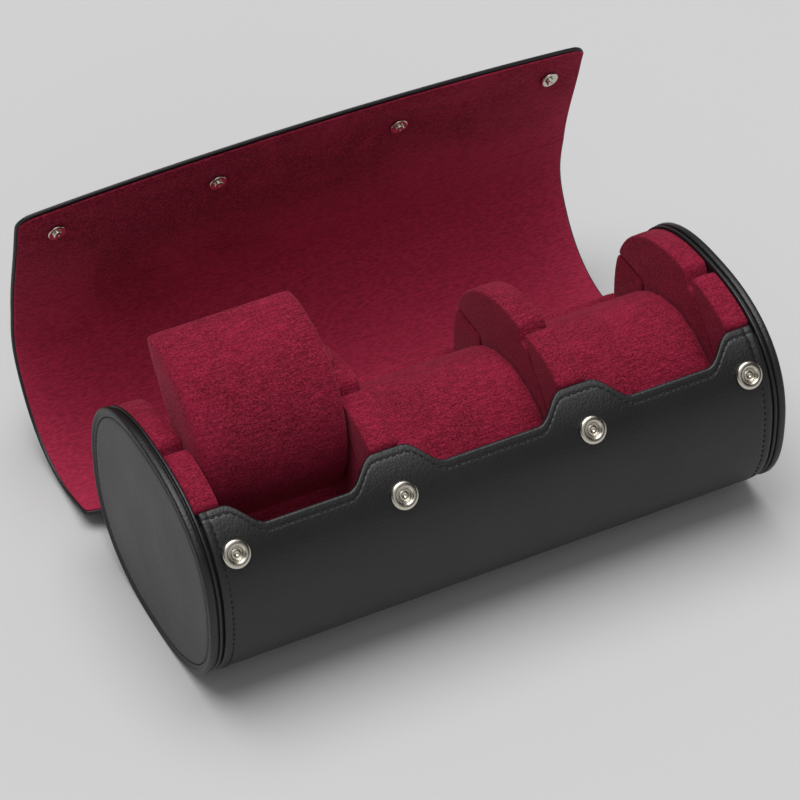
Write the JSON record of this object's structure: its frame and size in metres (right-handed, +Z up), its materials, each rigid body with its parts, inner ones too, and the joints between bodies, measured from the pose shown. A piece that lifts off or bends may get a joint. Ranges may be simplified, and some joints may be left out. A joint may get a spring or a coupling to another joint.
{
  "type": "watch travel case",
  "caption": "Oval leather watch roll lying open: padded wells with lift-out foam cushions, one cushion raised, and a wrap-over flap that closes with ring snaps.",
  "frame": {"origin": "middle of the flat strip under the case, on the surface it stands on", "axes": "+X along the case, to the right as seen from its front; +Y to the back, where the flap is hinged; +Z up"},
  "size_m": [0.228, 0.1691, 0.1144],
  "materials": {
    "black_leather": "smooth satin grain",
    "wine_suede": "brushed microsuede nap",
    "dark_wine_suede": "brushed microsuede nap with fine ribs",
    "grey_board": "matt fibreboard",
    "cream_foam": "matt open-cell foam",
    "nickel": "polished nickel plate"
  },
  "bodies": {
    "case": {"body_leather": "black_leather", "body_shell": "grey_board", "body_lining": "wine_suede", "end_cap_leather_left": "black_leather", "end_cap_leather_right": "black_leather", "end_cap_board_left": "grey_board", "end_cap_board_right": "grey_board", "divider_1_plate": "wine_suede", "divider_1_front": "wine_suede", "divider_1_back": "wine_suede", "divider_2_plate": "wine_suede", "divider_2_front": "wine_suede", "divider_2_back": "wine_suede", "divider_3_plate": "wine_suede", "divider_3_front": "wine_suede", "divider_3_back": "wine_suede", "divider_4_plate": "wine_suede", "divider_4_front": "wine_suede", "divider_4_back": "wine_suede", "divider_boards": "grey_board", "bed_1": "wine_suede", "bed_2": "wine_suede", "bed_3": "wine_suede", "snap_sockets": "nickel", "socket_rivets": "nickel"},
    "flap_back": {"flap_leather_1": "black_leather", "flap_board_1": "grey_board", "flap_lining_1": "dark_wine_suede"},
    "flap_front": {"flap_leather_2": "black_leather", "flap_board_2": "grey_board", "flap_lining_2": "dark_wine_suede"},
    "flap_lip": {"flap_leather_3": "black_leather", "flap_board_3": "grey_board", "flap_lining_3": "dark_wine_suede", "snap_studs": "nickel", "stud_caps": "nickel"},
    "cushion_1": {"cushion_1_cover": "wine_suede", "cushion_1_core": "cream_foam"},
    "cushion_2": {"cushion_2_cover": "wine_suede", "cushion_2_core": "cream_foam"},
    "cushion_3": {"cushion_3_cover": "wine_suede", "cushion_3_core": "cream_foam"}
  },
  "joints": [
    {"name": "flap_hinge", "type": "hinge", "parent": "case", "child": "flap_back", "pos_m": [0, 0.04435, 0.01783], "axis": [1, 0, 0], "range_deg": [0, 102]},
    {"name": "flap_bend", "type": "hinge", "parent": "flap_back", "child": "flap_front", "pos_m": [0, 0.11583, 0.038], "axis": [1, 0, 0], "range_deg": [-17, 0]},
    {"name": "lip_crease", "type": "hinge", "parent": "flap_front", "child": "flap_lip", "pos_m": [0, 0.10745, 0.08553], "axis": [1, 0, 0], "range_deg": [-6, 45]},
    {"name": "cushion_1_tip", "type": "hinge", "parent": "case", "child": "cushion_1", "pos_m": [0, -0.027, 0.0674], "axis": [1, 0, 0], "range_deg": [-57, 0]},
    {"name": "cushion_2_lift", "type": "slide", "parent": "case", "child": "cushion_2", "axis": [0, -0.2756, -0.9613], "range_m": [-0.06, 0]},
    {"name": "cushion_3_lift", "type": "slide", "parent": "case", "child": "cushion_3", "axis": [0, -0.2756, -0.9613], "range_m": [-0.06, 0]}
  ],
  "couplings": [
    {"joint": "flap_bend", "follows": "flap_hinge", "ratio": -0.16667},
    {"joint": "cushion_1_tip", "follows": "flap_hinge", "ratio": -0.55882}
  ]
}
